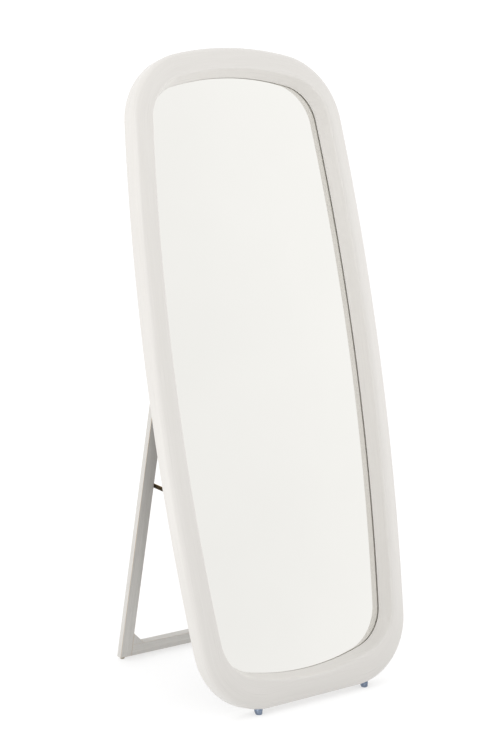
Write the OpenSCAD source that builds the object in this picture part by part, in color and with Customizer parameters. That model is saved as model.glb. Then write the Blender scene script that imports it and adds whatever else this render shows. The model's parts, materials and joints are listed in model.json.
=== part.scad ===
// Leaning floor mirror: a pillow-profiled frame around silvered glass, held up by a folding
// ladder leg with two jack-knife stays. It stands open, facing -Y, with its feet on z = 0.

/* [Panel] */
// Height of the mirror panel, measured up its face
panel_h = 1600; // [1440:10:1760]
// Thickness of the frame, back to crest
frame_t = 56; // [50:1:64]
// How far the panel leans back from upright, degrees
panel_lean = 13; // [10:0.5:15]
// Half of the straight stretch of the bottom edge
base_half = 136; // [120:1:145]
// Radius of the bottom corners
low_corner_r = 170; // [155:1:180]
// Radius of the top corners
top_corner_r = 184; // [170:1:195]
// How far the sides splay outwards where they start, degrees
side_splay = 5.7; // [5:0.1:6.5]
// How far the sides draw in again where they end, degrees
side_draw = 5.3; // [4.5:0.1:6]
// Slope of the top edge where it leaves the corner, degrees
crown_slope = 12; // [10:0.5:14]

/* [Opening] */
// Height of the visible glass
opening_h = 1460; // [1300:10:1500]
// Height of the opening above the panel's bottom edge
opening_rise = 69; // [66:1:75]
// Radius of the opening's bowed bottom edge
opening_base_r = 661; // [600:1:720]
// Radius of the opening's bottom corners
opening_low_r = 101.5; // [95:0.5:108]
// Radius of the opening's top corners
opening_top_r = 103; // [97:0.5:109]

/* [Profile] */
// Radius of the outer shoulder
shoulder_r = 19.5; // [16:0.5:22]
// Height of the crest above the foot of the shoulder
shoulder_h = 25.5; // [23:0.5:28]
// Radius of the crest, where the face turns into the bevel
crest_r = 7; // [4:0.5:10]
// Slope of the bevel, from the crest down to the glass, degrees
bevel_slope = 69; // [66:1:75]
// Rounding of the back edge
back_r = 3; // [2:0.5:5]

/* [Glass and back] */
// Thickness of the mirror glass
glass_t = 4; // [3:1:6]
// Thickness of the backing board
board_t = 9; // [6:1:12]
// How deep the backing board sits in the frame's back
board_recess = 3; // [2:0.5:4]
// How far the lip covers the glass
glass_lap = 8; // [6:1:10]
// How far the ledge runs under the board
board_lap = 22; // [20:1:24]

/* [Leg] */
// Height of the hinge pins up the panel
hinge_h = 1025; // [950:5:1080]
// How far the leg leans forward from upright, degrees
leg_lean = 14.25; // [12:0.25:16]
// Width over both stiles
leg_w = 484; // [440:2:500]
// Width of a stile's face, and height of a rail
stile_w = 33; // [28:1:40]
// Thickness of the leg's boards
leg_t = 18; // [15:1:21]
// Length of a corner block's short sides
block_leg = 34; // [25:1:45]

/* [Hardware] */
// Distance of the stay's pivots from the hinge pins
stay_reach = 535; // [480:5:560]
// Width of a stay arm
arm_w = 11; // [9:1:12]
// Thickness of a stay arm
arm_t = 2; // [1.5:0.5:2]
// Distance of each front glide from the middle
glide_x = 161; // [140:1:170]
// Distance of each hinge's middle from the middle of the leg
hinge_x = 150; // [100:5:165]

/* [Hidden] */
$fn = 48;
// How far a cutting tool runs past the surface that it cuts
cut = 1;

// Colours
paint = "#e6e3dc";
raw_wood = "#c9a97a";
silver = "#dfe6e6";
fibreboard = "#8b6f4e";
washed_wood = "#d9d6ce";
steel = "#b9bcc0";
chrome = "#c8d0da";
brass = "#a8793a";
pad_brown = "#4a3b28";

// An outline is the right-hand half of a ring, from its bottom centre to its top centre, in five
// parts that run on smoothly: bottom, low corner, side, top corner and crown. Each part is
// [its straight stretch along +X, its start, its radius, its heading at the start and at the end].
// A heading is 0 along +X and 90 straight up. The side's radius closes the ring at height h.
function side_radius(h, x, y, h1, h2, r3, h3) =
    let (k = (1 + cos(h3)) / sin(h3))
    (h - y - r3 * (cos(h2) - cos(h3)) - k * (x + r3 * (sin(h3) - sin(h2))))
    / (cos(h1) - cos(h2) + k * (sin(h2) - sin(h1)));
function hop(p, r, from, to) = p + r * [sin(to) - sin(from), cos(from) - cos(to)];
function outline(flat, rise, h, r0, h0, r1, h1, h2, r3, h3) =
    let (
        p0 = hop([flat, rise], r0, 0, h0),
        p1 = hop(p0, r1, h0, h1),
        r2 = side_radius(h, p1.x, p1.y - rise, h1, h2, r3, h3),
        p2 = hop(p1, r2, h1, h2),
        p3 = hop(p2, r3, h2, h3),
        r4 = p3.x / sin(h3)
    )
    [
        [flat, [0, rise], r0, 0, h0],
        [0, p0, r1, h0, h1],
        [0, p1, r2, h1, h2],
        [0, p2, r3, h2, h3],
        [0, p3, r4, h3, 180]
    ];

opening_base_slope = 14.9;
opening_side_splay = 5.76;
opening_side_draw = 5.7;
opening_crown_slope = 14.4;
outer = outline(base_half, 0, panel_h, 0, 0, low_corner_r, 90 - side_splay,
    90 + side_draw, top_corner_r, 180 - crown_slope);
opening = outline(0, opening_rise, opening_h, opening_base_r, opening_base_slope,
    opening_low_r, 90 - opening_side_splay, 90 + opening_side_draw,
    opening_top_r, 180 - opening_crown_slope);

// A station is [part of the outline, share of the way along it].
function heading(line, st) = line[st[0]][3] + st[1] * (line[st[0]][4] - line[st[0]][3]);
function outward(h) = [sin(h), -cos(h)];
function at(line, st, off = 0) =
    let (s = line[st[0]], h = heading(line, st))
    s[1] + [s[0] * st[1], 0] + s[2] * (outward(h) - outward(s[3])) + off * outward(h);
function flip(p) = [-p.x, p.y];
function run(part, from, to, n) = [for (k = [0:n]) [part, from + (to - from) * k / n]];
function reversed(v) = [for (k = [len(v) - 1:-1:0]) v[k]];
function tail(v) = [for (k = [1:len(v) - 1]) v[k]];

low_bend = 1;
side_part = 2;
top_bend = 3;
crown_part = 4;
bend_steps = 18;
// Share of each corner's bend that is cut with the stile; the mitre is at its end.
stile_bend = 0.4;
stile_bend_steps = round(bend_steps * stile_bend);
rail_bend_steps = bend_steps - stile_bend_steps;
side_steps = 16;
crown_steps = 8;
base_steps = 6;
side_stations = concat(
    run(low_bend, 1 - stile_bend, 1, stile_bend_steps),
    tail(run(side_part, 0, 1, side_steps)),
    tail(run(top_bend, 0, stile_bend, stile_bend_steps))
);
crown_stations = concat(
    run(top_bend, stile_bend, 1, rail_bend_steps),
    tail(run(crown_part, 0, 1, crown_steps))
);
base_stations = concat(
    run(0, 0, 1, base_steps),
    tail(run(low_bend, 0, 1 - stile_bend, rail_bend_steps))
);
half_stations = concat(base_stations, tail(side_stations), tail(crown_stations));

// Depths are counted from the frame's back towards the glass and the crest.
glass_back = board_recess + board_t;
glass_front = glass_back + glass_t;
bevel_w = crest_r * sin(bevel_slope)
    + (frame_t - glass_front - crest_r * (1 - cos(bevel_slope))) / tan(bevel_slope);
shoulder_steps = 6;
face_steps = 5;
crest_steps = 5;

// The face is an arc from the shoulder to the crest, tangent to both, for any width of face.
function face_bend(face) = 2 * atan2(shoulder_h - shoulder_r, face - shoulder_r);
function face_radius(face) = shoulder_r + (face - shoulder_r) / sin(face_bend(face));
// Points on an arc from angle start to end, 0 at its front and 90 towards the opening
function arc(x, y, r, start, end, n) =
    [for (k = [0:n]) let (q = start + (end - start) * k / n) [x + r * sin(q), y + r * cos(q)]];

// The frame's section: x from the outer edge towards the opening, y from the back to the front.
function section(width) = let (
    face = width - bevel_w,
    bend = face_bend(face),
    face_r = face_radius(face)
) concat(
    [for (q = [0:45:90]) back_r * [1 - sin(q), 1 - cos(q)]],
    arc(shoulder_r, frame_t - shoulder_h, shoulder_r, -90, -bend, shoulder_steps),
    tail(arc(face, frame_t - face_r, face_r, -bend, 0, face_steps)),
    tail(arc(face, frame_t - crest_r, crest_r, 0, bevel_slope, crest_steps)),
    [
        [width, glass_front],
        [width - glass_lap, glass_front],
        [width - glass_lap, glass_back],
        [width - board_lap, glass_back],
        [width - board_lap, 0]
    ]
);
function ring(o, i) =
    let (w = norm(i - o), u = (i - o) / w)
    [for (q = section(w)) [o.x + u.x * q.x, -q.y, o.y + u.y * q.x]];
function right_rings(stations) = [for (st = stations) ring(at(outer, st), at(opening, st))];
function left_rings(stations) =
    [for (st = stations) ring(flip(at(outer, st)), flip(at(opening, st)))];

module loft(rings) {
    n = len(rings[0]);
    m = len(rings);
    sides = [
        for (i = [0:m - 2], j = [0:n - 1])
            let (a = i * n + j, b = i * n + (j + 1) % n)
            each [[a, b, b + n], [a, b + n, a + n]]
    ];
    caps = [[for (j = [n - 1:-1:0]) j], [for (j = [0:n - 1]) (m - 1) * n + j]];
    polyhedron(points = [for (r = rings) each r], faces = concat(sides, caps), convexity = 6);
}

// Resting pose: the panel leans back by panel_lean, the leg leans forward by leg_lean.
base_gap = 4.3;
foot_gap = 4.4;
open_angle = panel_lean + leg_lean;
base_face = opening_rise - bevel_w;
base_face_r = face_radius(base_face);
front_y = base_face * sin(panel_lean) - (frame_t - base_face_r) * cos(panel_lean) - base_face_r;
knuckle_r = 3;
pin_r = 1.5;
leaf_t = 1.5;
pin_stand = 3.3;
pin_back = pin_stand - board_recess;
pin_y0 = hinge_h * sin(panel_lean) + pin_back * cos(panel_lean);
pin_z = base_gap + hinge_h * cos(panel_lean) - pin_back * sin(panel_lean);
leg_reach = (pin_z - foot_gap + pin_stand * sin(leg_lean)) / cos(leg_lean);
foot_y0 = pin_y0 + pin_stand * cos(leg_lean) + leg_reach * sin(leg_lean);
rear_y0 = foot_y0 + leg_t / cos(leg_lean);
panel_y = -(front_y + rear_y0) / 2;
pin_y = panel_y + pin_y0;
foot_y = panel_y + foot_y0;

// Panel coordinates: y = 0 is the frame's back, the glass faces -y, z runs up the panel.
module in_panel() {
    translate([0, panel_y, base_gap]) rotate([-panel_lean, 0, 0]) children();
}
// Leg coordinates: y = 0 is the leg's front, z runs up the leg from its front bottom edge.
module in_leg() {
    translate([0, pin_y, pin_z]) rotate([leg_lean, 0, 0]) translate([0, pin_stand, -leg_reach])
        children();
}
module along_x(r, from, to) {
    translate([from, 0, 0]) rotate([0, 90, 0]) cylinder(r = r, h = to - from);
}
module sheet(points, back, t) {
    translate([0, -back, 0]) rotate([90, 0, 0]) linear_extrude(t) polygon(points);
}

// ---- frame ----
dowel_r = 4;
dowel_len = 40;
dowel_depth = 28;
dowel_inset = [22, 44];
mitres = [[low_bend, 1 - stile_bend], [top_bend, stile_bend]];
module mitre_dowels(side) {
    for (st = mitres, e = dowel_inset) {
        o = at(outer, st);
        u = (at(opening, st) - o) / norm(at(opening, st) - o);
        p = o + u * e;
        translate([side * p.x, -dowel_depth, p.y]) rotate([0, side * atan2(-u.y, u.x), 0])
            cylinder(r = dowel_r, h = dowel_len, center = true);
    }
}

glide_y = -25;
glide_top_r = 10.5;
glide_foot_r = 7.2;
glide_seat = 5;
glide_h = 14;
glide_stem_r = 3;
glide_stem = 22;
// Height of the block that cuts the soles level
glide_cut = 50;
module glide_seats() {
    for (side = [-1, 1]) translate([side * glide_x, glide_y, -cut]) {
        cylinder(r = glide_top_r, h = glide_seat + cut);
        cylinder(r = glide_stem_r, h = glide_stem + cut);
    }
}
// A cone square to the panel's underside, with its sole cut level with the floor
module glide(side) {
    color(chrome) difference() {
        in_panel() translate([side * glide_x, glide_y, 0]) {
            translate([0, 0, -glide_h]) cylinder(r1 = glide_foot_r, r2 = glide_top_r, h = glide_h);
            cylinder(r = glide_top_r, h = glide_seat);
            cylinder(r = glide_stem_r, h = glide_stem);
        }
        translate([side * glide_x, panel_y, -glide_cut / 2]) cube([2, 4, 1] * glide_cut, center = true);
    }
}

screw_r = 1.75;
screw_head_r = 3.5;
screw_head_h = 2.2;
screw_depth = 24;
screw_line = (glass_lap + board_lap) / 2;
screw_spots = concat(
    [[0, 0.35], [crown_part, 0.5]],
    [for (f = [0.02, 0.26, 0.5, 0.74, 0.98]) [side_part, f]]
);
module board_fixings() {
    for (side = [-1, 1], st = screw_spots) {
        p = at(opening, st, screw_line);
        translate([side * p.x, -board_recess, p.y]) rotate([90, 0, 0]) {
            cylinder(r1 = screw_head_r, r2 = screw_r, h = screw_head_h);
            cylinder(r = screw_r, h = screw_depth);
        }
    }
}

module frame_piece(rings, seats = false) {
    color(paint) in_panel() difference() {
        loft(rings);
        mitre_dowels(-1);
        mitre_dowels(1);
        board_fixings();
        if (seats) glide_seats();
    }
}
module frame_left() { frame_piece(reversed(left_rings(side_stations))); }
module frame_right() { frame_piece(right_rings(side_stations)); }
module frame_top() {
    frame_piece(concat(right_rings(crown_stations), tail(reversed(left_rings(crown_stations)))));
}
module frame_bottom() {
    frame_piece(concat(reversed(left_rings(base_stations)), tail(right_rings(base_stations))), true);
}
module frame_dowels() {
    color(raw_wood) in_panel() {
        mitre_dowels(-1);
        mitre_dowels(1);
    }
}

// ---- glass and back ----
fit_gap = 2;
// A point off the opening's edge towards the outer edge, along the line that the section follows
function beside(st, off) =
    let (i = at(opening, st), o = at(outer, st)) i + (o - i) * off / norm(o - i);
function whole(off) =
    let (half = [for (st = half_stations) beside(st, off)])
    concat(half, [for (k = [len(half) - 2:-1:1]) flip(half[k])]);
module mirror_glass() {
    color(silver) in_panel() sheet(whole(glass_lap - fit_gap), glass_back, glass_t);
}
module backing_board() {
    color(fibreboard) in_panel() difference() {
        sheet(whole(board_lap - fit_gap), board_recess, board_t);
        board_fixings();
        panel_hinge_screws();
        bracket_screws();
    }
}
module board_screws() { color(steel) in_panel() board_fixings(); }

// ---- hinges ----
leaf_w = 50;
leaf_h = 22;
knuckles = 5;
knuckle_gap = 0.3;
knuckle_len = leaf_w / knuckles;
pin_play = 0.06;
pin_cap_r = 2.3;
pin_cap_t = 0.8;
hinge_screw_r = 1.6;
hinge_screw_head = 3;
hinge_screw_len = 9;
hinge_screw_drop = 12.5;
hinge_screw_pitch = 17;
module countersunk(r, head_r, head_h, len) {
    cylinder(r1 = head_r, r2 = r, h = head_h);
    cylinder(r = r, h = len);
}
module hinge_screw_set(side) {
    for (k = [-1:1]) translate([side * hinge_x + k * hinge_screw_pitch, 0, -hinge_screw_drop])
        children();
}
// One leaf, lying against the plane y = 0 with its pin at y = pin_stand and its plate below.
// A leaf that is odd carries the second and fourth knuckles.
module leaf(odd, bore_r) {
    difference() {
        union() {
            translate([-leaf_w / 2, 0, -leaf_h]) cube([leaf_w, leaf_t, leaf_h]);
            for (k = [0:knuckles - 1]) if ((k % 2 == 1) == odd)
                translate([0, pin_stand, 0])
                    along_x(knuckle_r, knuckle_x(k), knuckle_x(k + 1));
        }
        for (k = [0:knuckles - 1]) if ((k % 2 == 1) != odd)
            translate([knuckle_x(k) - knuckle_gap, -cut, -knuckle_r - 2 * knuckle_gap])
                cube([knuckle_len + 2 * knuckle_gap, 3 * knuckle_r, 3 * knuckle_r]);
        translate([0, pin_stand, 0]) along_x(bore_r, -leaf_w, leaf_w);
    }
}
function knuckle_x(k) = -leaf_w / 2 + k * knuckle_len;

module at_panel_hinge() { translate([0, -board_recess, hinge_h]) children(); }
module at_leg_hinge() { translate([0, 0, leg_reach]) mirror([0, 1, 0]) children(); }
module panel_hinge_screws() {
    at_panel_hinge() for (side = [-1, 1]) hinge_screw_set(side) translate([0, leaf_t, 0])
        rotate([90, 0, 0]) countersunk(hinge_screw_r, hinge_screw_head, leaf_t, hinge_screw_len);
}
module leg_hinge_screws() {
    at_leg_hinge() for (side = [-1, 1]) hinge_screw_set(side) translate([0, leaf_t, 0])
        rotate([90, 0, 0]) countersunk(hinge_screw_r, hinge_screw_head, leaf_t, hinge_screw_len);
}
module hinge_panel_leaf(side) {
    color(steel) in_panel() difference() {
        at_panel_hinge() translate([side * hinge_x, 0, 0]) leaf(false, pin_r);
        panel_hinge_screws();
    }
}
module hinge_leg_leaf(side) {
    color(steel) in_leg() difference() {
        at_leg_hinge() translate([side * hinge_x, 0, 0]) leaf(true, pin_r + pin_play);
        leg_hinge_screws();
    }
}
module hinge_pin(side) {
    color(steel) in_panel() at_panel_hinge() translate([side * hinge_x, pin_stand, 0]) {
        along_x(pin_r, -leaf_w / 2, leaf_w / 2);
        for (s = [-1, 1]) translate([s * (leaf_w + pin_cap_t) / 2, 0, 0])
            along_x(pin_cap_r, -pin_cap_t / 2, pin_cap_t / 2);
    }
}
module hinge_panel_screws() { color(steel) in_panel() panel_hinge_screws(); }
module hinge_leg_screws() { color(steel) in_leg() leg_hinge_screws(); }

// ---- leg ----
leg_top = leg_reach + knuckle_r;
stile_in = leg_w / 2 - stile_w;
heel = leg_t * tan(leg_lean);
leg_dowel_r = 3;
leg_dowel_half = 16;
leg_dowel_pitch = 8;
// A board of the leg with its foot cut level with the floor, from x = 0 to x = width.
module footed_board(width, height) {
    rotate([90, 0, 90]) linear_extrude(width)
        polygon([[0, 0], [leg_t, -heel], [leg_t, height], [0, height]]);
}
module leg_dowel_set(side) {
    for (z = [stile_w / 2, leg_top - stile_w / 2], dz = [-leg_dowel_pitch, leg_dowel_pitch])
        translate([side * stile_in, leg_t / 2, z + dz])
            along_x(leg_dowel_r, -leg_dowel_half, leg_dowel_half);
}
module leg_stile(side) {
    color(washed_wood) difference() {
        in_leg() difference() {
            translate([side > 0 ? stile_in : -leg_w / 2, 0, 0]) footed_board(stile_w, leg_top);
            leg_dowel_set(side);
            pivot_shank(side);
        }
        pad_nail(side);
    }
}
module leg_rail_top() {
    color(washed_wood) in_leg() difference() {
        translate([-stile_in, 0, leg_top - stile_w]) cube([2 * stile_in, leg_t, stile_w]);
        leg_dowel_set(-1);
        leg_dowel_set(1);
        leg_hinge_screws();
    }
}
module leg_rail_bottom() {
    color(washed_wood) in_leg() difference() {
        translate([-stile_in, 0, 0]) footed_board(2 * stile_in, stile_w);
        leg_dowel_set(-1);
        leg_dowel_set(1);
    }
}
module leg_corner_block(side) {
    color(washed_wood) in_leg() translate([side * stile_in, leg_t, stile_w]) rotate([90, 0, 0])
        linear_extrude(leg_t) polygon([[0, 0], [-side * block_leg, 0], [0, block_leg]]);
}
module leg_dowels() {
    color(raw_wood) in_leg() {
        leg_dowel_set(-1);
        leg_dowel_set(1);
    }
}

pad_r = 6;
pad_in = 10;
pad_back = 8;
nail_r = 0.9;
nail_len = 12;
module at_pad(side) {
    translate([side * (leg_w / 2 - pad_in), foot_y + pad_back, 0]) children();
}
module pad_nail(side) { at_pad(side) cylinder(r = nail_r, h = foot_gap + nail_len); }
module rear_pad(side) {
    color(pad_brown) {
        at_pad(side) cylinder(r = pad_r, h = foot_gap);
        pad_nail(side);
    }
}

// ---- stays ----
// Distances across a stay are counted from the stile's inner face towards the middle.
rear_arm_x = 1.5;
rivet_head = 0.5;
play = 0.1;
arm_gap = 1.5;
ear_gap = 0.3;
front_arm_x = rear_arm_x + arm_t + arm_gap;
ear_x = front_arm_x + arm_t + ear_gap;
ear_t = 2;
rivet_dome = 1.5;
stay_pin_r = 2.5;
stay_play = 0.06;
stay_head_r = 4.5;
stay_back = leg_t / 2;
stay_pin_y = pin_back + pin_stand + stay_back;
pivot_z = leg_reach - stay_reach;
anchor_z = hinge_h - stay_reach;
stay_radius = norm([stay_reach, pin_stand + stay_back]);
arm_len = stay_radius * sin(open_angle / 2);
stay_offset = atan2(pin_stand + stay_back, stay_reach);
// Angles of the open arms above the level of their own body
front_tilt = open_angle / 2 + stay_offset;
rear_tilt = open_angle / 2 - stay_offset;
module across(side, x, len, r) {
    if (side < 0) along_x(r, -stile_in + x, -stile_in + x + len);
    else along_x(r, stile_in - x - len, stile_in - x);
}
module slab(side, x, t, size) {
    translate([side < 0 ? -stile_in + x : stile_in - x - t, size[0], size[1]])
        cube([t, size[2], size[3]]);
}
// A flat bar with round ends from the pivot to the elbow, along +y, with a hole at each end.
module arm(side, x, hole_r) {
    difference() {
        union() {
            slab(side, x, arm_t, [0, -arm_w / 2, arm_len, arm_w]);
            across(side, x, arm_t, arm_w / 2);
            translate([0, arm_len, 0]) across(side, x, arm_t, arm_w / 2);
        }
        across(side, x - cut, arm_t + 2 * cut, hole_r);
        translate([0, arm_len, 0]) across(side, x - cut, arm_t + 2 * cut, stay_pin_r);
    }
}
module at_anchor() { translate([0, stay_pin_y, anchor_z]) children(); }
module at_pivot() { translate([0, stay_back, pivot_z]) children(); }
module on_front_arm() { in_panel() at_anchor() rotate([front_tilt, 0, 0]) children(); }
module on_rear_arm() { in_leg() at_pivot() rotate([180 - rear_tilt, 0, 0]) children(); }

bracket_t = 2;
bracket_h = 36;
bracket_w = 26;
ear_r = 8;
bracket_screw_r = 1.75;
bracket_screw_head = 3.2;
bracket_screw_len = 9;
bracket_screw_rise = 11;
module bracket_screws() {
    for (side = [-1, 1], dz = [-bracket_screw_rise, bracket_screw_rise])
        translate([side * (stile_in - ear_x - ear_t - (bracket_w - ear_t) / 2),
                   bracket_t - board_recess, anchor_z + dz])
            rotate([90, 0, 0])
                countersunk(bracket_screw_r, bracket_screw_head, bracket_t, bracket_screw_len);
}
module stay_bracket(side) {
    color(brass) in_panel() difference() {
        union() {
            slab(side, ear_x, bracket_w, [-board_recess, anchor_z - bracket_h / 2,
                                          bracket_t, bracket_h]);
            slab(side, ear_x, ear_t, [-board_recess, anchor_z - ear_r,
                                      stay_pin_y + board_recess, 2 * ear_r]);
            at_anchor() across(side, ear_x, ear_t, ear_r);
        }
        bracket_screws();
        at_anchor() across(side, ear_x - cut, ear_t + 2 * cut, stay_pin_r);
    }
}
module stay_bracket_screws() { color(steel) in_panel() bracket_screws(); }
module stay_bracket_rivet(side) {
    color(brass) in_panel() at_anchor() {
        across(side, front_arm_x - play - rivet_head, rivet_head, stay_head_r);
        across(side, front_arm_x - play, ear_x + ear_t - front_arm_x + play, stay_pin_r);
        across(side, ear_x + ear_t, rivet_dome, stay_head_r);
    }
}
pivot_screw_in = 16;
module pivot_shank(side) {
    at_pivot() across(side, -pivot_screw_in, pivot_screw_in + cut, stay_pin_r);
}
module stay_pivot(side) {
    color(brass) in_leg() at_pivot() {
        across(side, -pivot_screw_in, pivot_screw_in + rear_arm_x + arm_t + play, stay_pin_r);
        across(side, 0, rear_arm_x - play, stay_head_r);
        across(side, rear_arm_x + arm_t + play, rivet_head, stay_head_r);
    }
}
module stay_front_arm(side) {
    color(brass) on_front_arm() arm(side, front_arm_x, stay_pin_r + stay_play);
}
module stay_rear_arm(side) {
    color(brass) on_rear_arm() arm(side, rear_arm_x, stay_pin_r + stay_play);
}
// The elbow's rivet is split between the arms, with an open gap between its halves.
module stay_front_rivet(side) {
    color(brass) on_front_arm() translate([0, arm_len, 0]) {
        across(side, front_arm_x, arm_t, stay_pin_r);
        across(side, front_arm_x + arm_t, rivet_dome, stay_head_r);
    }
}
module stay_rear_rivet(side) {
    color(brass) on_rear_arm() translate([0, arm_len, 0]) {
        across(side, rear_arm_x, arm_t + rivet_head, stay_pin_r);
        across(side, rear_arm_x - rivet_head, rivet_head, stay_head_r);
    }
}

frame_left();
frame_right();
frame_top();
frame_bottom();
frame_dowels();
mirror_glass();
backing_board();
board_screws();
glide(-1);  // front_glide_left
glide(1);  // front_glide_right
hinge_panel_leaf(-1);  // hinge_panel_leaf_left
hinge_panel_leaf(1);  // hinge_panel_leaf_right
hinge_pin(-1);  // hinge_pin_left
hinge_pin(1);  // hinge_pin_right
hinge_panel_screws();
stay_bracket(-1);  // stay_bracket_left
stay_bracket(1);  // stay_bracket_right
stay_bracket_screws();
stay_bracket_rivet(-1);  // stay_bracket_rivet_left
stay_bracket_rivet(1);  // stay_bracket_rivet_right
leg_stile(-1);  // leg_stile_left
leg_stile(1);  // leg_stile_right
leg_rail_top();
leg_rail_bottom();
leg_corner_block(-1);  // leg_corner_block_left
leg_corner_block(1);  // leg_corner_block_right
leg_dowels();
hinge_leg_leaf(-1);  // hinge_leg_leaf_left
hinge_leg_leaf(1);  // hinge_leg_leaf_right
hinge_leg_screws();
stay_pivot(-1);  // stay_pivot_left
stay_pivot(1);  // stay_pivot_right
rear_pad(-1);  // rear_pad_left
rear_pad(1);  // rear_pad_right
stay_front_arm(-1);  // stay_front_arm_left
stay_front_arm(1);  // stay_front_arm_right
stay_front_rivet(-1);  // stay_front_rivet_left
stay_front_rivet(1);  // stay_front_rivet_right
stay_rear_arm(-1);  // stay_rear_arm_left
stay_rear_arm(1);  // stay_rear_arm_right
stay_rear_rivet(-1);  // stay_rear_rivet_left
stay_rear_rivet(1);  // stay_rear_rivet_right
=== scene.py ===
"""Looks of the leaning floor mirror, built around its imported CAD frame. Metres, +Z up, facing -Y."""

import json
import math

import bmesh
import bpy
from mathutils import Matrix, Vector


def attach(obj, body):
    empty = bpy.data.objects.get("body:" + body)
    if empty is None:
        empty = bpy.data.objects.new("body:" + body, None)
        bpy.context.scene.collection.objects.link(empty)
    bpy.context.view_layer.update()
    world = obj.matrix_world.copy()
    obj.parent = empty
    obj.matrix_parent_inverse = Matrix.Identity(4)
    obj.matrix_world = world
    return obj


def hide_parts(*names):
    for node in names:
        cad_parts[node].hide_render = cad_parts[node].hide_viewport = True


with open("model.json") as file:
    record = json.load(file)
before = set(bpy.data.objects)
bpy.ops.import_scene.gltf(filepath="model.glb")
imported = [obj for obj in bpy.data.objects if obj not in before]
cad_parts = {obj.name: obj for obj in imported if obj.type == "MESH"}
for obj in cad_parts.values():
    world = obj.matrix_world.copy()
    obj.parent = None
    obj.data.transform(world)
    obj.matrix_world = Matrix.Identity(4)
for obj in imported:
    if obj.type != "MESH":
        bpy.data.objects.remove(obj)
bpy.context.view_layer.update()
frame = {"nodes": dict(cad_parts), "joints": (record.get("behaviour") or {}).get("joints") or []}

NODES = frame["nodes"]
JOINTS = {j["name"]: j for j in frame["joints"]}

# ---------------------------------------------------------------- driving sizes, as in the CAD source
PANEL_H = 1.600
FRAME_T = 0.056
PANEL_LEAN = math.radians(13)
LEG_LEAN = math.radians(14.25)
BASE_HALF = 0.136
LOW_CORNER_R = 0.170
TOP_CORNER_R = 0.184
OPENING_H = 1.460
OPENING_RISE = 0.069
OPENING_BASE_R = 0.661
OPENING_LOW_R = 0.1015
OPENING_TOP_R = 0.103
OUTER_HEADINGS = [0, 84.3, 95.3, 168]                 # degrees, where one arc passes into the next
OPENING_HEADINGS = [14.9, 84.24, 95.7, 165.6]
SHOULDER_R = 0.0195
SHOULDER_H = 0.0255
CREST_R = 0.007
BEVEL_SLOPE = 69         # degrees
BACK_R = 0.003
BOARD_T = 0.009
BOARD_RECESS = 0.003
GLASS_T = 0.004
GLASS_LAP = 0.008
BOARD_LAP = 0.022
FIT_GAP = 0.002
HINGE_H = 1.025
PIN_STAND = 0.0033
GLIDE_X = 0.161
GLIDE_Y = -0.025
GLIDE_TOP_R = 0.0105
GLIDE_FOOT_R = 0.0072
GLIDE_H = 0.014
GLASS_INDEX = 1.5        # refraction makes the silvered face look nearer than it is

GLASS_BACK = BOARD_RECESS + BOARD_T
GLASS_FRONT = GLASS_BACK + GLASS_T
MIRROR_PLANE = GLASS_FRONT - GLASS_T / GLASS_INDEX
BEVEL = math.radians(BEVEL_SLOPE)
BEVEL_DROP = FRAME_T - GLASS_FRONT - CREST_R * (1 - math.cos(BEVEL))
BEVEL_W = CREST_R * math.sin(BEVEL) + BEVEL_DROP / math.tan(BEVEL)

SAME_POINT = 1e-5        # points closer than this are one, and heights closer than this are level


def panel_matrix():
    """Panel coordinates (back of the frame at y = 0, z up its face) to the row frame."""
    pin = Vector(JOINTS["leg_fold"]["pos_m"])
    turn = Matrix.Rotation(-PANEL_LEAN, 4, "X")
    return Matrix.Translation(pin) @ turn @ Matrix.Translation((0, BOARD_RECESS - PIN_STAND, -HINGE_H))


PANEL = panel_matrix()
PANEL_BACK = PANEL.to_3x3() @ Vector((0, 1, 0))
LEG_BACK = Matrix.Rotation(LEG_LEAN, 3, "X") @ Vector((0, 1, 0))


# ---------------------------------------------------------------- outlines made of arcs
def hop(p, r, start, end):
    """The end of an arc of radius r from p, whose heading goes from start to end (degrees)."""
    a, b = math.radians(start), math.radians(end)
    return p + r * Vector((math.sin(b) - math.sin(a), math.cos(a) - math.cos(b)))


def outline(flat, rise, height, base_r, low_r, top_r, headings):
    """Right-hand half of a ring, bottom centre to top centre: (straight, start, radius, from, to)."""
    h0, h1, h2, h3 = headings
    p0 = hop(Vector((flat, rise)), base_r, 0, h0)
    p1 = hop(p0, low_r, h0, h1)
    r1, r2, r3 = (math.radians(h) for h in (h1, h2, h3))
    k = (1 + math.cos(r3)) / math.sin(r3)
    reach = height - (p1.y - rise) - top_r * (math.cos(r2) - math.cos(r3))
    reach -= k * (p1.x + top_r * (math.sin(r3) - math.sin(r2)))
    side_r = reach / (math.cos(r1) - math.cos(r2) + k * (math.sin(r2) - math.sin(r1)))
    p2 = hop(p1, side_r, h1, h2)
    p3 = hop(p2, top_r, h2, h3)
    crown_r = p3.x / math.sin(r3)
    return [
        (flat, Vector((0, rise)), base_r, 0, h0),
        (0, p0, low_r, h0, h1),
        (0, p1, side_r, h1, h2),
        (0, p2, top_r, h2, h3),
        (0, p3, crown_r, h3, 180),
    ]


def at(line, part, share):
    """The point a share of the way along one part of an outline."""
    flat, start, r, h0, h1 = line[part]
    h = math.radians(h0 + share * (h1 - h0))
    h0 = math.radians(h0)
    out = Vector((math.sin(h), -math.cos(h)))
    first = Vector((math.sin(h0), -math.cos(h0)))
    return start + Vector((flat * share, 0)) + r * (out - first)


OUTER = outline(BASE_HALF, 0, PANEL_H, 0, LOW_CORNER_R, TOP_CORNER_R, OUTER_HEADINGS)
OPENING = outline(
    0, OPENING_RISE, OPENING_H, OPENING_BASE_R, OPENING_LOW_R, OPENING_TOP_R, OPENING_HEADINGS
)
STEPS = [14, 34, 56, 34, 22]        # rings in each part of the half outline


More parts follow.
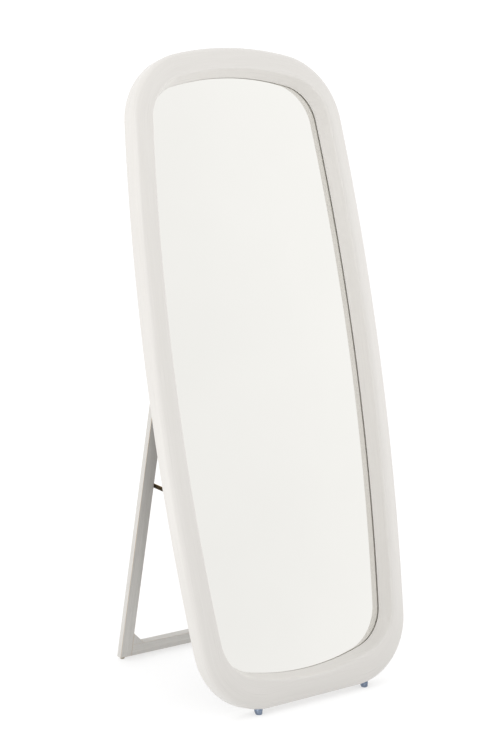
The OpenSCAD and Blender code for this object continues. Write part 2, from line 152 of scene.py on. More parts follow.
def stations():
    """(side, part, share) all round, anticlockwise from the bottom centre, seen from the front."""
    half = [(part, k / n) for part, n in enumerate(STEPS) for k in range(n)] + [(len(STEPS) - 1, 1.0)]
    return [(1, p, s) for p, s in half] + [(-1, p, s) for p, s in half[-2:0:-1]]


STATIONS = stations()


def arc(cx, cy, rx, ry, start, end, n):
    """Points on an ellipse, from angle start to end in degrees."""
    angles = [math.radians(start + (end - start) * k / n) for k in range(n + 1)]
    return [(cx + rx * math.cos(a), cy + ry * math.sin(a)) for a in angles]


LIP_R = 0.0006           # rounding of the lip over the glass
EDGE_R = 0.0008          # rounding of the back's inner edge
BACK_STEPS = 5
SHOULDER_STEPS = 14
FACE_STEPS = 12
CREST_STEPS = 12
BEVEL_STEPS = 5
LIP_STEPS = 4
EDGE_STEPS = 3


def section(width):
    """The frame's section: x from the outer edge to the opening, y from the back to the front."""
    face, ledge = width - BEVEL_W, width - BOARD_LAP
    bend = 2 * math.atan2(SHOULDER_H - SHOULDER_R, face - SHOULDER_R)
    face_r = SHOULDER_R + (face - SHOULDER_R) / math.sin(bend)
    turn = 90 + math.degrees(bend)
    nose = width - LIP_R * (1 + math.cos(BEVEL)) / math.sin(BEVEL)
    points = arc(BACK_R, BACK_R, BACK_R, BACK_R, 270, 180, BACK_STEPS)
    points += arc(SHOULDER_R, FRAME_T - SHOULDER_H, SHOULDER_R, SHOULDER_R, 180, turn, SHOULDER_STEPS)
    points += arc(face, FRAME_T - face_r, face_r, face_r, turn, 90, FACE_STEPS)[1:]
    points += arc(face, FRAME_T - CREST_R, CREST_R, CREST_R, 90, 90 - BEVEL_SLOPE, CREST_STEPS)[1:]
    lip = arc(nose, GLASS_FRONT + LIP_R, LIP_R, LIP_R, 90 - BEVEL_SLOPE, -90, LIP_STEPS)
    (x0, y0), (x1, y1) = points[-1], lip[0]
    shares = [k / BEVEL_STEPS for k in range(1, BEVEL_STEPS)]
    points += [(x0 + t * (x1 - x0), y0 + t * (y1 - y0)) for t in shares] + lip
    points += [(width - GLASS_LAP, GLASS_FRONT), (width - GLASS_LAP, GLASS_BACK), (ledge, GLASS_BACK)]
    points += arc(ledge - EDGE_R, EDGE_R, EDGE_R, EDGE_R, 0, -90, EDGE_STEPS)
    return points


# ---------------------------------------------------------------- mesh helpers
def new_piece(name, mesh, material, body, stands_for, sharp=30):
    """Puts a mesh into the scene as one piece that rides on a CAD body and replaces CAD nodes."""
    ob = bpy.data.objects.new(name, mesh)
    bpy.context.scene.collection.objects.link(ob)
    mesh.shade_smooth()
    mesh.set_sharp_from_angle(angle=math.radians(sharp))
    mesh.materials.append(material)
    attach(ob, body)
    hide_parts(*stands_for)


def mesh_from(name, points, faces, place):
    """A mesh of points and faces, moved by a matrix."""
    mesh = bpy.data.meshes.new(name)
    mesh.from_pydata([place @ Vector(p) for p in points], [], faces)
    mesh.update()
    return mesh


def mesh_of(name, bm):
    """A mesh of what bm holds, with its faces turned outwards; bm is freed."""
    bmesh.ops.recalc_face_normals(bm, faces=bm.faces)
    mesh = bpy.data.meshes.new(name)
    bm.to_mesh(mesh)
    bm.free()
    return mesh


def ring_mesh(name):
    """The moulded frame as one closed ring, with a seamless 'grain' vector that follows it round."""
    centre = [(at(OUTER, p, s) + at(OPENING, p, s)) / 2 for _, p, s in STATIONS]
    centre = [Vector((side * c.x, c.y)) for (side, _, _), c in zip(STATIONS, centre)]
    n = len(STATIONS)
    walk = [0.0]
    for k in range(n):
        walk.append(walk[-1] + (centre[(k + 1) % n] - centre[k]).length)
    loop_r = walk[-1] / (2 * math.pi)
    points, grain = [], []
    for k, (side, part, share) in enumerate(STATIONS):
        o, i = at(OUTER, part, share), at(OPENING, part, share)
        u = (i - o).normalized()
        turn = walk[k] / loop_r
        across, last = 0.0, None
        for x, y in section((i - o).length):
            p = o + u * x
            points.append((side * p.x, -y, p.y))
            across += 0.0 if last is None else math.hypot(x - last[0], y - last[1])
            last = (x, y)
            grain.append((loop_r * math.cos(turn), loop_r * math.sin(turn), across))
    m = len(points) // n
    faces = []
    for k in range(n):
        for j in range(m):
            a, b = k * m + j, k * m + (j + 1) % m
            c, d = ((k + 1) % n) * m + (j + 1) % m, ((k + 1) % n) * m + j
            faces.append((a, b, c, d))
    mesh = mesh_from(name, points, faces, PANEL)
    layer = mesh.attributes.new("grain", "FLOAT_VECTOR", "POINT")
    layer.data.foreach_set("vector", [v for g in grain for v in g])
    return mesh


def beside(part, share, off):
    """A point off the opening's edge, along the line that the section follows to the outer edge."""
    o, i = at(OUTER, part, share), at(OPENING, part, share)
    return i + off * (o - i).normalized()


def plate_mesh(name, off, back, front, ease):
    """A plate with the opening's outline, grown by off, with eased edges on both faces."""
    flat = [beside(p, s, off) for _, p, s in STATIONS]
    inner = [beside(p, s, off - ease) for _, p, s in STATIONS]
    sides = [side for side, _, _ in STATIONS]
    n = len(STATIONS)
    rings = [(inner, back), (flat, back + ease), (flat, front - ease), (inner, front)]
    points = [(side * p.x, -y, p.y) for ring, y in rings for side, p in zip(sides, ring)]
    faces = [tuple(range(n - 1, -1, -1)), tuple(range(3 * n, 4 * n))]
    for r in range(3):
        for k in range(n):
            j = (k + 1) % n
            faces.append((r * n + k, r * n + j, (r + 1) * n + j, (r + 1) * n + k))
    bm = bmesh.new()
    bm.from_mesh(mesh_from(name + "_raw", points, faces, PANEL))
    return mesh_of(name, bm)


EASE_SEGMENTS = 3
FLAT_ANGLE = math.radians(1)         # faces that meet at less than this are joined
SHARP_ANGLE = math.radians(20)       # edges sharper than this are rounded


def block_mesh(node, ease):
    """The outside of a convex CAD board, without its bores, with its rounded edges marked in a vertex
    attribute.
    """
    bm = bmesh.new()
    bm.from_mesh(NODES[node].data)
    bmesh.ops.remove_doubles(bm, verts=bm.verts, dist=SAME_POINT)
    hull = bmesh.ops.convex_hull(bm, input=bm.verts)
    inside = hull["geom_interior"] + hull["geom_unused"]
    loose = [v for v in inside if isinstance(v, bmesh.types.BMVert)]
    bmesh.ops.delete(bm, geom=loose, context="VERTS")
    keep = {f for f in hull["geom"] if isinstance(f, bmesh.types.BMFace)}
    bmesh.ops.delete(bm, geom=[f for f in bm.faces if f not in keep], context="FACES_ONLY")
    bmesh.ops.dissolve_limit(bm, angle_limit=FLAT_ANGLE, verts=bm.verts, edges=bm.edges)
    edge_band = bm.verts.layers.float.new("edge_band")
    edges = [e for e in bm.edges if e.is_manifold and e.calc_face_angle() > SHARP_ANGLE]
    made = bmesh.ops.bevel(
        bm, geom=edges, offset=ease, segments=EASE_SEGMENTS, profile=0.5, affect="EDGES"
    )
    rounded = set(made["faces"])
    for v in bm.verts:
        v[edge_band] = float(all(f in rounded for f in v.link_faces))
    return mesh_of(node + "_look", bm)


def islands(mesh):
    """The separate solids of a mesh, each as a list of points."""
    bm = bmesh.new()
    bm.from_mesh(mesh)
    bmesh.ops.remove_doubles(bm, verts=bm.verts, dist=SAME_POINT)
    left, found = set(bm.verts), []
    while left:
        stack, points = [left.pop()], []
        while stack:
            v = stack.pop()
            points.append(v.co.copy())
            near = [e.other_vert(v) for e in v.link_edges]
            stack += [o for o in near if o in left]
            left.difference_update(near)
        found.append(points)
    bm.free()
    return sorted(found, key=lambda ps: tuple(round(c, 4) for c in sum(ps, Vector()) / len(ps)))


SCREW_TURNS = 40
SCREW_RINGS = 14
HEAD_CROWN = 0.00012
HEAD_RIM = 0.0001
SCREW_SPREAD = 0.7       # radians, sets how the screws' turns differ
# the driver recess, as shares of the head's radius
SLOT_HALF_W = 0.16
SLOT_REACH = 0.62
BOWL_R = 0.34
RECESS_DEPTH = 0.34
# how steep the walls of the slots and of the bowl between them are
SLOT_SLOPE = 3.5
BOWL_SLOPE = 0.9


def cross_recess(x, y, r):
    """Depth of a cross-shaped driver recess at a point of a screw's head."""
    slot = SLOT_HALF_W * r
    arm = SLOT_REACH * r
    inside = max(min(slot - abs(x), arm - abs(y)), min(slot - abs(y), arm - abs(x)))
    bowl = max(0.0, BOWL_R * r - math.hypot(x, y)) * BOWL_SLOPE
    return max(min(max(inside, 0.0) * SLOT_SLOPE, RECESS_DEPTH * r), bowl)


def add_screw(bm, centre, out, turn, head_r, neck_r, length):
    """A countersunk cross-head screw, whose head has its centre at 'centre' and faces 'out'."""
    place = Matrix.Translation(centre) @ out.to_track_quat("Z", "Y").to_matrix().to_4x4()
    place = place @ Matrix.Rotation(turn, 4, "Z")
    rows = []
    for k in range(1, SCREW_RINGS + 1):
        r = head_r * k / SCREW_RINGS
        crown = HEAD_CROWN * (1 - (k / SCREW_RINGS) ** 2)
        row = []
        for t in range(SCREW_TURNS):
            a = 2 * math.pi * t / SCREW_TURNS
            x, y = r * math.cos(a), r * math.sin(a)
            row.append((x, y, crown - cross_recess(x, y, head_r)))
        rows.append(row)
    for r, z in ((head_r, -HEAD_RIM), (neck_r, neck_r - head_r), (neck_r, -length)):
        angles = [2 * math.pi * t / SCREW_TURNS for t in range(SCREW_TURNS)]
        rows.append([(r * math.cos(a), r * math.sin(a), z) for a in angles])
    verts = [[bm.verts.new(place @ Vector(p)) for p in row] for row in rows]
    hub = bm.verts.new(place @ Vector((0, 0, -cross_recess(0, 0, head_r))))
    for t in range(SCREW_TURNS):
        u = (t + 1) % SCREW_TURNS
        bm.faces.new((hub, verts[0][t], verts[0][u]))
        for a, b in zip(verts, verts[1:]):
            bm.faces.new((a[t], b[t], b[u], a[u]))
    bm.faces.new(verts[-1][::-1])


def screws_mesh(node, out):
    """Detailed screws where the CAD node has plain ones, each turned differently."""
    bm = bmesh.new()
    for k, points in enumerate(islands(NODES[node].data)):
        high = max(p.dot(out) for p in points)
        low = min(p.dot(out) for p in points)
        rim = [p for p in points if p.dot(out) > high - SAME_POINT]
        centre = (Vector(map(min, *rim)) + Vector(map(max, *rim))) / 2
        centre += (high - centre.dot(out)) * out
        head_r = max((p - centre).length for p in rim)
        end = [p for p in points if p.dot(out) < low + SAME_POINT]
        foot = centre - (high - low) * out
        neck_r = max((p - foot).length for p in end)
        turn = SCREW_SPREAD * k * k % math.pi
        add_screw(bm, centre, out, turn, head_r, neck_r, high - low)
    return mesh_of(node + "_look", bm)


def lathe(bm, profile, place, turns=64):
    """Turns a profile of (radius, height) round the local z axis; it starts and ends on the axis."""
    rows = []
    for r, z in profile[1:-1]:
        angles = [2 * math.pi * t / turns for t in range(turns)]
        row = [(r * math.cos(a), r * math.sin(a), z) for a in angles]
        rows.append([bm.verts.new(place @ Vector(p)) for p in row])
    first = bm.verts.new(place @ Vector((0, 0, profile[0][1])))
    last = bm.verts.new(place @ Vector((0, 0, profile[-1][1])))
    for t in range(turns):
        u = (t + 1) % turns
        bm.faces.new((first, rows[0][u], rows[0][t]))
        bm.faces.new((last, rows[-1][t], rows[-1][u]))
        for a, b in zip(rows, rows[1:]):
            bm.faces.new((a[t], a[u], b[u], b[t]))


# ---------------------------------------------------------------- materials
class Shader:
    """A new material with its Principled shader, and short calls that add and join nodes."""

    def __init__(self, name, **values):
        self.material = bpy.data.materials.new(name)
        self.material.use_nodes = True
        self.tree = self.material.node_tree
        self.out = self.tree.nodes["Principled BSDF"]
        for key, value in values.items():
            self.out.inputs[key.replace("_", " ")].default_value = value

    def add(self, kind, links=(), **settings):
        """A new node; links are input: socket, and settings are its properties or its inputs' values."""
        node = self.tree.nodes.new(kind)
        for key, value in settings.items():
            if hasattr(node, key):
                setattr(node, key, value)
            else:
                node.inputs[key.replace("_", " ")].default_value = value
        for key, source in dict(links).items():
            self.tree.links.new(source, node.inputs[key])
        return node

    def noise(self, vector, scale, detail=4.0, rough=0.55):
        """Noise of about 1/scale metres; scale may differ along x, y and z."""
        place = {"Vector": self.add("ShaderNodeMapping", {"Vector": vector}, Scale=scale).outputs[0]}
        node = self.add("ShaderNodeTexNoise", place, Scale=1.0, Detail=detail, Roughness=rough)
        return node.outputs["Fac"]

    def remap(self, value, low, high, new_low, new_high):
        """The value taken from one range to another, and clamped there."""
        limits = {"From_Min": low, "From_Max": high, "To_Min": new_low, "To_Max": new_high}
        return self.add("ShaderNodeMapRange", {"Value": value}, **limits).outputs[0]

    def mix(self, share, a, b):
        """Colour between a and b; each is a colour or a socket, and share is a socket."""
        node = self.add("ShaderNodeMix", data_type="RGBA")
        self.tree.links.new(share, node.inputs["Factor"])
        for key, value in ((6, a), (7, b)):
            if isinstance(value, tuple):
                node.inputs[key].default_value = value
            else:
                self.tree.links.new(value, node.inputs[key])
        return node.outputs[2]

    def join(self, value, socket):
        """Joins a socket to an input of the Principled shader."""
        self.tree.links.new(value, self.out.inputs[socket])

    def bump(self, *layers):
        """Adds bumps of (height socket, depth in metres), one on another."""
        normal = None
        for height, depth in layers:
            links = {"Height": height}
            if normal is not None:
                links["Normal"] = normal
            normal = self.add("ShaderNodeBump", links, Strength=1.0, Distance=depth).outputs[0]
        self.join(normal, "Normal")


def colour(r, g, b):
    """An sRGB colour (0 to 255) as the shader's linear one."""
    def linear(c):
        c /= 255
        return c / 12.92 if c <= 0.04045 else ((c + 0.055) / 1.055) ** 2.4
    return (linear(r), linear(g), linear(b), 1.0)


def paint_material():
    """Satin off-white paint over fine-grained wood: faint lines along it and slight orange peel."""
    s = Shader("satin_paint", Roughness=0.3, Specular_IOR_Level=0.5)
    grain = s.add("ShaderNodeAttribute", attribute_name="grain").outputs["Vector"]
    place = s.add("ShaderNodeTexCoord").outputs["Object"]
    lines = s.noise(grain, (9, 9, 420), 5.0)
    broad = s.noise(grain, (4, 4, 60), 3.0)
    cloud = s.noise(place, (5, 5, 5), 3.0)
    peel = s.noise(place, (700, 700, 700), 2.0)
    tone = s.mix(s.remap(lines, 0.35, 0.65, 0, 1), colour(204, 201, 197), colour(208, 205, 201))
    tone = s.mix(s.remap(broad, 0.35, 0.65, 0, 0.35), tone, colour(201, 198, 193))
    tone = s.mix(s.remap(cloud, 0.3, 0.7, 0, 0.25), tone, colour(209, 207, 203))
    s.join(tone, "Base Color")
    s.join(s.remap(lines, 0.3, 0.7, 0.27, 0.36), "Roughness")
    s.bump((lines, 0.00006), (peel, 0.00001))
    return s.material


def mirror_material():
    """The silvering, with a barely uneven tone."""
    s = Shader("silvered_glass", Metallic=1.0, Roughness=0.0)
    place = s.add("ShaderNodeTexCoord").outputs["Object"]
    haze = s.noise(place, (3, 3, 3), 3.0)
    tone = s.mix(s.remap(haze, 0.3, 0.7, 0, 1), colour(241, 240, 236), colour(243, 242, 238))
    s.join(tone, "Base Color")
    return s.material


def board_material():
    """Dark-stained fibreboard: matted fibres and a few darker flecks."""
    s = Shader("fibreboard", Roughness=0.8, Specular_IOR_Level=0.3)
    place = s.add("ShaderNodeTexCoord").outputs["Object"]
    fibres = s.noise(place, (900, 900, 350), 6.0, 0.7)
    flecks = s.noise(place, (260, 260, 160), 3.0)
    cloud = s.noise(place, (12, 12, 12), 3.0)
    tone = s.mix(s.remap(fibres, 0.3, 0.7, 0, 1), colour(60, 56, 52), colour(78, 73, 68))
    tone = s.mix(s.remap(flecks, 0.62, 0.72, 0, 0.6), tone, colour(42, 39, 36))
    tone = s.mix(s.remap(cloud, 0.3, 0.7, 0, 0.3), tone, colour(86, 80, 74))
    s.join(tone, "Base Color")
    s.join(s.remap(fibres, 0.3, 0.7, 0.72, 0.88), "Roughness")
    s.bump((fibres, 0.0001))
    return s.material


def leg_material(name, along):
    """Off-white washed wood, with its grain along one axis of the leg: 0 is x, 2 is up the leg."""
    s = Shader(name, Roughness=0.6, Specular_IOR_Level=0.4)
    place = s.add("ShaderNodeTexCoord").outputs["Object"]
    leg = s.add("ShaderNodeMapping", {"Vector": place}, Rotation=(-LEG_LEAN, 0, 0)).outputs[0]

    def stretched(fine, length):
        return tuple(length if axis == along else fine for axis in range(3))

    lines = s.noise(leg, stretched(520, 9), 6.0, 0.65)
    bands = s.noise(leg, stretched(70, 2.5), 4.0, 0.6)
    pores = s.noise(leg, stretched(1600, 55), 2.0)
    tone = s.mix(s.remap(lines, 0.35, 0.65, 0, 1), colour(186, 184, 180), colour(204, 202, 198))
    tone = s.mix(s.remap(bands, 0.35, 0.65, 0, 0.5), tone, colour(192, 189, 184))
    tone = s.mix(s.remap(pores, 0.6, 0.7, 0, 0.4), tone, colour(162, 157, 149))
    # A patchy warm brown tint on the rounded edges.
    edge = s.add("ShaderNodeAttribute", attribute_name="edge_band").outputs["Fac"]
    patchy = s.remap(bands, 0.3, 0.6, 0.4, 1)
    edge_tint = s.add("ShaderNodeMath", {0: edge, 1: patchy}, operation="MULTIPLY").outputs[0]
    tone = s.mix(edge_tint, tone, colour(196, 176, 150))
    s.join(tone, "Base Color")
    s.join(s.remap(lines, 0.3, 0.7, 0.52, 0.68), "Roughness")
    s.bump((lines, 0.0002), (pores, 0.00008))
    return s.material


SCRATCH_DEPTH = 0.00002


def metal_material(name, dark, light, rough):
    """A plated metal: fine scratches, slight blotches in tone and gloss."""
    s = Shader(name, Metallic=1.0, Roughness=rough)
    place = s.add("ShaderNodeTexCoord").outputs["Object"]
    blotch = s.noise(place, (120, 120, 120), 4.0)
    fine = s.noise(place, (300, 300, 300), 5.0, 0.7)
    s.join(s.mix(s.remap(blotch, 0.3, 0.7, 0, 1), dark, light), "Base Color")
    s.join(s.remap(fine, 0.3, 0.7, 0.7 * rough, 1.4 * rough), "Roughness")
    s.bump((fine, SCRATCH_DEPTH))
    return s.material


def shaded_brass_material():
    """Brass plate with painted shade on the flats of the stays, dark as if reflecting the shaded board,
    and a painted highlight on their edges.
    """
    s = Shader("brass_painted_shade_and_highlight", Metallic=1.0, Roughness=0.3)
    coordinates = s.add("ShaderNodeTexCoord").outputs
    shade_mottle = s.noise(coordinates["Object"], (90, 90, 90), 5.0, 0.6)
    fine = s.noise(coordinates["Object"], (600, 600, 600), 4.0, 0.7)
    across = s.add("ShaderNodeSeparateXYZ", {"Vector": coordinates["Normal"]}).outputs["X"]
    flat = s.add("ShaderNodeMath", {0: across}, operation="ABSOLUTE").outputs[0]
    # Painted shade: the flats get a dark brown, and the edges a painted highlight in bright gold, chosen
    # by which way the surface faces.
    dark = s.mix(s.remap(shade_mottle, 0.3, 0.7, 0, 1), colour(84, 74, 58), colour(122, 104, 74))
    painted_edge_highlight = s.mix(s.remap(fine, 0.3, 0.7, 0, 1), colour(160, 122, 66), colour(188, 150, 90))
    s.join(s.mix(s.remap(flat, 0.6, 0.95, 0, 1), painted_edge_highlight, dark), "Base Color")
    s.join(s.remap(fine, 0.3, 0.7, 0.24, 0.42), "Roughness")
    s.bump((fine, SCRATCH_DEPTH))
    return s.material


def pad_material():
    """Taupe felt with a short nap."""
    s = Shader("brown_felt_pad", Roughness=0.85, Specular_IOR_Level=0.2)
    place = s.add("ShaderNodeTexCoord").outputs["Object"]
    nap = s.noise(place, (2500, 2500, 2500), 3.0, 0.7)
    tone = s.mix(s.remap(nap, 0.3, 0.7, 0, 1), colour(150, 142, 128), colour(176, 168, 154))
    s.join(tone, "Base Color")
    s.bump((nap, 0.0002))
    return s.material


FLOOR_GLOW = 0.56         # light the floor gives off around the mirror
FLOOR_GLOW_FAR = 0.86     # and in front of it, where it lights the frame from below
FLOOR_GLOW_FROM = -1.4
FLOOR_GLOW_TO = -0.6
FLOOR_DARK = (0.42, 0.42, 0.42, 1)
FLOOR_LIGHT = (0.44, 0.44, 0.44, 1)
WHITE = (1, 1, 1, 1)


def floor_material():
    """A pale matt floor that gives off a little light of its own, and more of it in front."""
    s = Shader("pale_floor", Roughness=0.9, Specular_IOR_Level=0.0)
    place = s.add("ShaderNodeTexCoord").outputs["Object"]
    cloud = s.noise(place, (2, 2, 2), 2.0)
    s.join(s.mix(cloud, FLOOR_DARK, FLOOR_LIGHT), "Base Color")
    s.out.inputs["Emission Color"].default_value = WHITE
    forward = s.add("ShaderNodeSeparateXYZ", {"Vector": place}).outputs["Y"]
    glow = s.remap(forward, FLOOR_GLOW_FROM, FLOOR_GLOW_TO, FLOOR_GLOW_FAR, FLOOR_GLOW)
    s.join(glow, "Emission Strength")
    return s.material


PAINT = paint_material()
MIRROR = mirror_material()
BOARD = board_material()
UPRIGHT = leg_material("washed_wood_upright", 2)
LEVEL = leg_material("washed_wood_level", 0)
# The chrome's colour is darkened and tinted blue-grey: painted shade and a painted reflection of the
# shade under the frame, not the plating's own tone.
CHROME = metal_material("chrome_painted_shade", colour(98, 110, 130), colour(148, 160, 178), 0.1)
ZINC = metal_material("zinc_plate", colour(166, 168, 170), colour(196, 197, 198), 0.34)
BRASS = shaded_brass_material()
PAD = pad_material()


# ---------------------------------------------------------------- panel
GLASS_EASE = 0.0003
REAR_BOARD_EASE = 0.0004
FRAME_SEGMENTS = ("frame_left", "frame_right", "frame_top", "frame_bottom")
PANEL_SCREWS = {
    "board_screws": "board_screw_set",
    "hinge_panel_screws": "hinge_panel_screw_set",
    "stay_bracket_screws": "bracket_screw_set",
}


def build_panel():
    """The painted moulding, the pane, the board behind it and all the screws in them."""
    ring = ring_mesh("painted_frame")
    new_piece("painted_frame", ring, PAINT, "panel", FRAME_SEGMENTS, 40)
    glass = plate_mesh("mirror_pane", GLASS_LAP - FIT_GAP, GLASS_BACK, MIRROR_PLANE, GLASS_EASE)
    new_piece("mirror_pane", glass, MIRROR, "panel", ["mirror_glass"])
    board = plate_mesh("rear_board", BOARD_LAP - FIT_GAP, BOARD_RECESS, GLASS_BACK, REAR_BOARD_EASE)
    new_piece("rear_board", board, BOARD, "panel", ["backing_board"])
    for node, name in PANEL_SCREWS.items():
        new_piece(name, screws_mesh(node, PANEL_BACK), ZINC, "panel", [node])


GLIDE_EASE = 0.0012
GLIDE_EASE_SEGMENTS = 4
GLIDE_RINGS = (-GLIDE_H, -0.01, -0.006, -0.002, -0.0008)        # heights of the cone's rings
GLIDE_SHANK_R = GLIDE_TOP_R - 0.0003
GLIDE_SUNK = 0.004       # how far the shank goes into the frame
GLIDE_TURNS = 96


def build_glides():
    """Chrome glides: turned cones square to the panel's underside, with their soles level."""
    for side, label in ((-1, "left"), (1, "right")):
        place = PANEL @ Matrix.Translation((side * GLIDE_X, GLIDE_Y, 0))
        slope = (GLIDE_TOP_R - GLIDE_FOOT_R) / GLIDE_H
        profile = [(0, -GLIDE_H)] + [(GLIDE_FOOT_R + slope * (z + GLIDE_H), z) for z in GLIDE_RINGS]
        profile += [(GLIDE_SHANK_R, 0.0), (GLIDE_SHANK_R, GLIDE_SUNK), (0, GLIDE_SUNK)]
        bm = bmesh.new()
        lathe(bm, profile, place, GLIDE_TURNS)
        solid = bm.verts[:] + bm.edges[:] + bm.faces[:]
        cut = bmesh.ops.bisect_plane(
            bm, geom=solid, plane_co=(0, 0, 0), plane_no=(0, 0, -1), clear_outer=True
        )
        rim = [e for e in cut["geom_cut"] if isinstance(e, bmesh.types.BMEdge)]
        bmesh.ops.contextual_create(bm, geom=rim)
        rim = [e for e in bm.edges if all(abs(v.co.z) < SAME_POINT for v in e.verts)]
        bmesh.ops.bevel(
            bm, geom=rim, offset=GLIDE_EASE, segments=GLIDE_EASE_SEGMENTS, profile=0.5, affect="EDGES"
        )
        name = "chrome_glide_" + label
        new_piece(name, mesh_of(name, bm), CHROME, "panel", ["front_glide_" + label], 50)


# ---------------------------------------------------------------- leg
STILE_EASE = 0.0012
RAIL_EASE = 0.0005
LEG_BOARDS = (
    ("leg_stile_left", UPRIGHT, STILE_EASE),
    ("leg_stile_right", UPRIGHT, STILE_EASE),
    ("leg_rail_top", LEVEL, RAIL_EASE),
    ("leg_rail_bottom", LEVEL, RAIL_EASE),
    ("leg_corner_block_left", UPRIGHT, RAIL_EASE),
    ("leg_corner_block_right", UPRIGHT, RAIL_EASE),
)


def build_leg():
    """The leg's boards and the screws of its hinge leaves."""
    for node, material, ease in LEG_BOARDS:
        new_piece(node + "_wood", block_mesh(node, ease), material, "leg", [node])
    screws = screws_mesh("hinge_leg_screws", -LEG_BACK)
    new_piece("hinge_leg_screw_set", screws, ZINC, "leg", ["hinge_leg_screws"])


PAD_EASE = 0.0012
PAD_EASE_STEPS = 5
PAD_NAIL_R = 0.0009
PAD_NAIL_H = 0.01
PAD_RIM_BAND = 1e-4      # points this near to the pad's radius are on its rim


def build_pads():
    """Felt pads with rounded soles, each on a nail in the end of a stile."""
    for label in ("left", "right"):
        node = "rear_pad_" + label
        points = [v.co for v in NODES[node].data.vertices]
        sole = [p for p in points if p.z < SAME_POINT]
        centre = (Vector(map(min, *sole)) + Vector(map(max, *sole))) / 2
        r = max((p - centre).length for p in sole)
        rim = [p for p in points if (p.xy - centre.xy).length > r - PAD_RIM_BAND]
        top = max(round(p.z, 5) for p in rim)
        rounding = arc(r - PAD_EASE, PAD_EASE, PAD_EASE, PAD_EASE, -90, 0, PAD_EASE_STEPS)
        nail_top = top + PAD_NAIL_H
        profile = [(0, 0)] + rounding
        profile += [(r, top), (PAD_NAIL_R, top), (PAD_NAIL_R, nail_top), (0, nail_top)]
        bm = bmesh.new()
        lathe(bm, profile, Matrix.Translation(centre))
        new_piece(node + "_turned", mesh_of(node, bm), PAD, "leg", [node], 50)


# ---------------------------------------------------------------- metal parts kept from the CAD
def ease_edges(ob, width):
    """Small rounded edges on a CAD piece, by modifiers alone."""
    weld = ob.modifiers.new("weld", "WELD")
    weld.merge_threshold = SAME_POINT
    bevel = ob.modifiers.new("ease", "BEVEL")
    bevel.width = width
    bevel.segments = 2
    bevel.limit_method = "ANGLE"
    bevel.angle_limit = math.radians(40)
    bevel.harden_normals = False


def dress(node, material, width=0.0):
    """Gives a CAD piece its material, and eased edges of the width given."""
    ob = NODES[node]
    ob.data.materials.clear()
    ob.data.materials.append(material)
    if width:
        ease_edges(ob, width)


HINGE_EASE = 0.0002
STAY_EASE = 0.0003
HINGE_PARTS = ("panel_leaf", "leg_leaf", "pin")
STAY_PARTS = ("bracket", "bracket_rivet", "pivot", "front_arm", "front_rivet", "rear_arm", "rear_rivet")


def dress_hardware():
    """Dowels, hinges and stays, which stay the CAD solids."""
    dress("frame_dowels", UPRIGHT)
    dress("leg_dowels", UPRIGHT)
    for label in ("left", "right"):
        for part in HINGE_PARTS:
            dress(f"hinge_{part}_{label}", ZINC, HINGE_EASE)
        for part in STAY_PARTS:
            dress(f"stay_{part}_{label}", BRASS, STAY_EASE)


# ---------------------------------------------------------------- studio
AIM = Vector((-0.009, -0.0005, 0.770))
DISTANCE = 4.023
AZIMUTH = -34.77         # degrees
ELEVATION = 9.80
LENS = 77.65             # millimetres
SENSOR = 36.0


def heading(azimuth, elevation):
    """Unit vector from the object towards an azimuth and an elevation in degrees, 0 being the front."""
    turn, rise = math.radians(azimuth), math.radians(elevation)
    return Vector((math.sin(turn) * math.cos(rise), -math.cos(turn) * math.cos(rise), math.sin(rise)))


def build_camera():
    """The camera, where the front, the left side and the leg are seen."""
    back = heading(AZIMUTH, ELEVATION)
    data = bpy.data.cameras.new("camera")
    data.lens = LENS
    data.sensor_width = SENSOR
    data.clip_end = 100
    cam = bpy.data.objects.new("camera", data)
    bpy.context.scene.collection.objects.link(cam)
    cam.location = AIM + DISTANCE * back
    cam.rotation_euler = (-back).to_track_quat("-Z", "Y").to_euler()
    bpy.context.scene.camera = cam


STUDIO = 1.115           # brightness of the white studio where no patch adds to it or takes from it
# azimuth and elevation of each patch, the cosines where it starts and where it is full, its strength
PATCHES = (
    (-35, 8, 0.20, 0.90, 0.117),
    (-35, 8, 0.88, 0.99, -0.131),
    (-75, 5, 0.60, 0.97, 0.370),
    (100, 10, 0.60, 0.97, 0.158),
    (60, 25, 0.70, 0.97, 0.046),
    (-110, 15, 0.60, 0.97, 0.230),
    (0, 90, 0.60, 0.97, 0.339),
    (-20, 50, 0.70, 0.97, -0.364),
    (0, 10, 0.60, 0.97, -0.261),
)


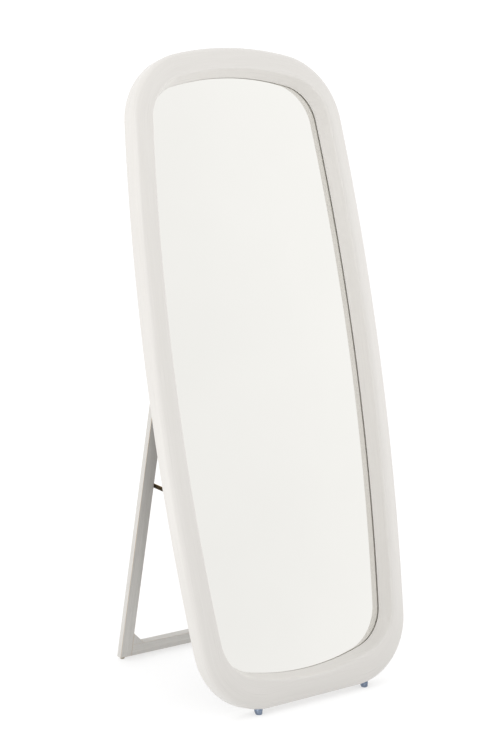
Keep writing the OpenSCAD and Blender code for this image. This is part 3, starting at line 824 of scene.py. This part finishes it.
def build_world():
    """A white studio with softly lighter and darker patches."""
    world = bpy.data.worlds.new("studio")
    world.use_nodes = True
    bpy.context.scene.world = world
    tree = world.node_tree

    def node(kind, *links, **settings):
        made = tree.nodes.new(kind)
        for key, value in settings.items():
            setattr(made, key, value)
        for k, source in enumerate(links):
            tree.links.new(source, made.inputs[k])
        return made

    ray = node("ShaderNodeTexCoord").outputs["Generated"]
    strength = None
    for azimuth, elevation, start, full, share in PATCHES:
        towards = node("ShaderNodeVectorMath", ray, operation="DOT_PRODUCT")
        towards.inputs[1].default_value = heading(azimuth, elevation)
        patch = node("ShaderNodeMapRange", towards.outputs["Value"], interpolation_type="SMOOTHSTEP")
        low = STUDIO if strength is None else 0.0
        for k, number in enumerate((start, full, low, low + share)):
            patch.inputs[k + 1].default_value = number
        if strength is None:
            strength = patch.outputs[0]
        else:
            strength = node("ShaderNodeMath", strength, patch.outputs[0], operation="ADD").outputs[0]
    background = tree.nodes["Background"]
    background.inputs["Color"].default_value = WHITE
    tree.links.new(strength, background.inputs["Strength"])


SOFTBOXES = (
    # name, place, what it is aimed at, width, height, power in watts
    ("soft_right", (1.9, -0.9, 1.2), (0, 0, 0.8), 1.0, 2.2, 4.4),
    ("soft_left", (-1.3, -0.5, 1.8), (-0.25, 0, 1.3), 0.5, 1.2, 1.9),
    ("soft_leg", (-1.0, 0.45, 0.3), (-0.25, 0.2, 0.3), 0.5, 0.5, 0.9),
)
FLOOR_REACH = 30


def softbox(name, place, aim, width, height, power):
    """An area light that the camera doesn't see."""
    data = bpy.data.lights.new(name, "AREA")
    data.shape = "RECTANGLE"
    data.size, data.size_y = width, height
    data.energy = power
    light = bpy.data.objects.new(name, data)
    bpy.context.scene.collection.objects.link(light)
    light.location = place
    light.rotation_euler = (Vector(place) - Vector(aim)).to_track_quat("Z", "Y").to_euler()
    light.visible_camera = False


def build_studio():
    """The floor, the lights and plain colour management."""
    bm = bmesh.new()
    bmesh.ops.create_grid(bm, x_segments=1, y_segments=1, size=FLOOR_REACH)
    mesh = mesh_of("floor", bm)
    mesh.materials.append(floor_material())
    floor = bpy.data.objects.new("floor", mesh)
    bpy.context.scene.collection.objects.link(floor)
    for box in SOFTBOXES:
        softbox(*box)
    scene = bpy.context.scene
    scene.view_settings.view_transform = "Standard"
    scene.view_settings.look = "None"


build_camera()
build_world()
build_studio()
build_panel()
build_glides()
build_leg()
build_pads()
dress_hardware()
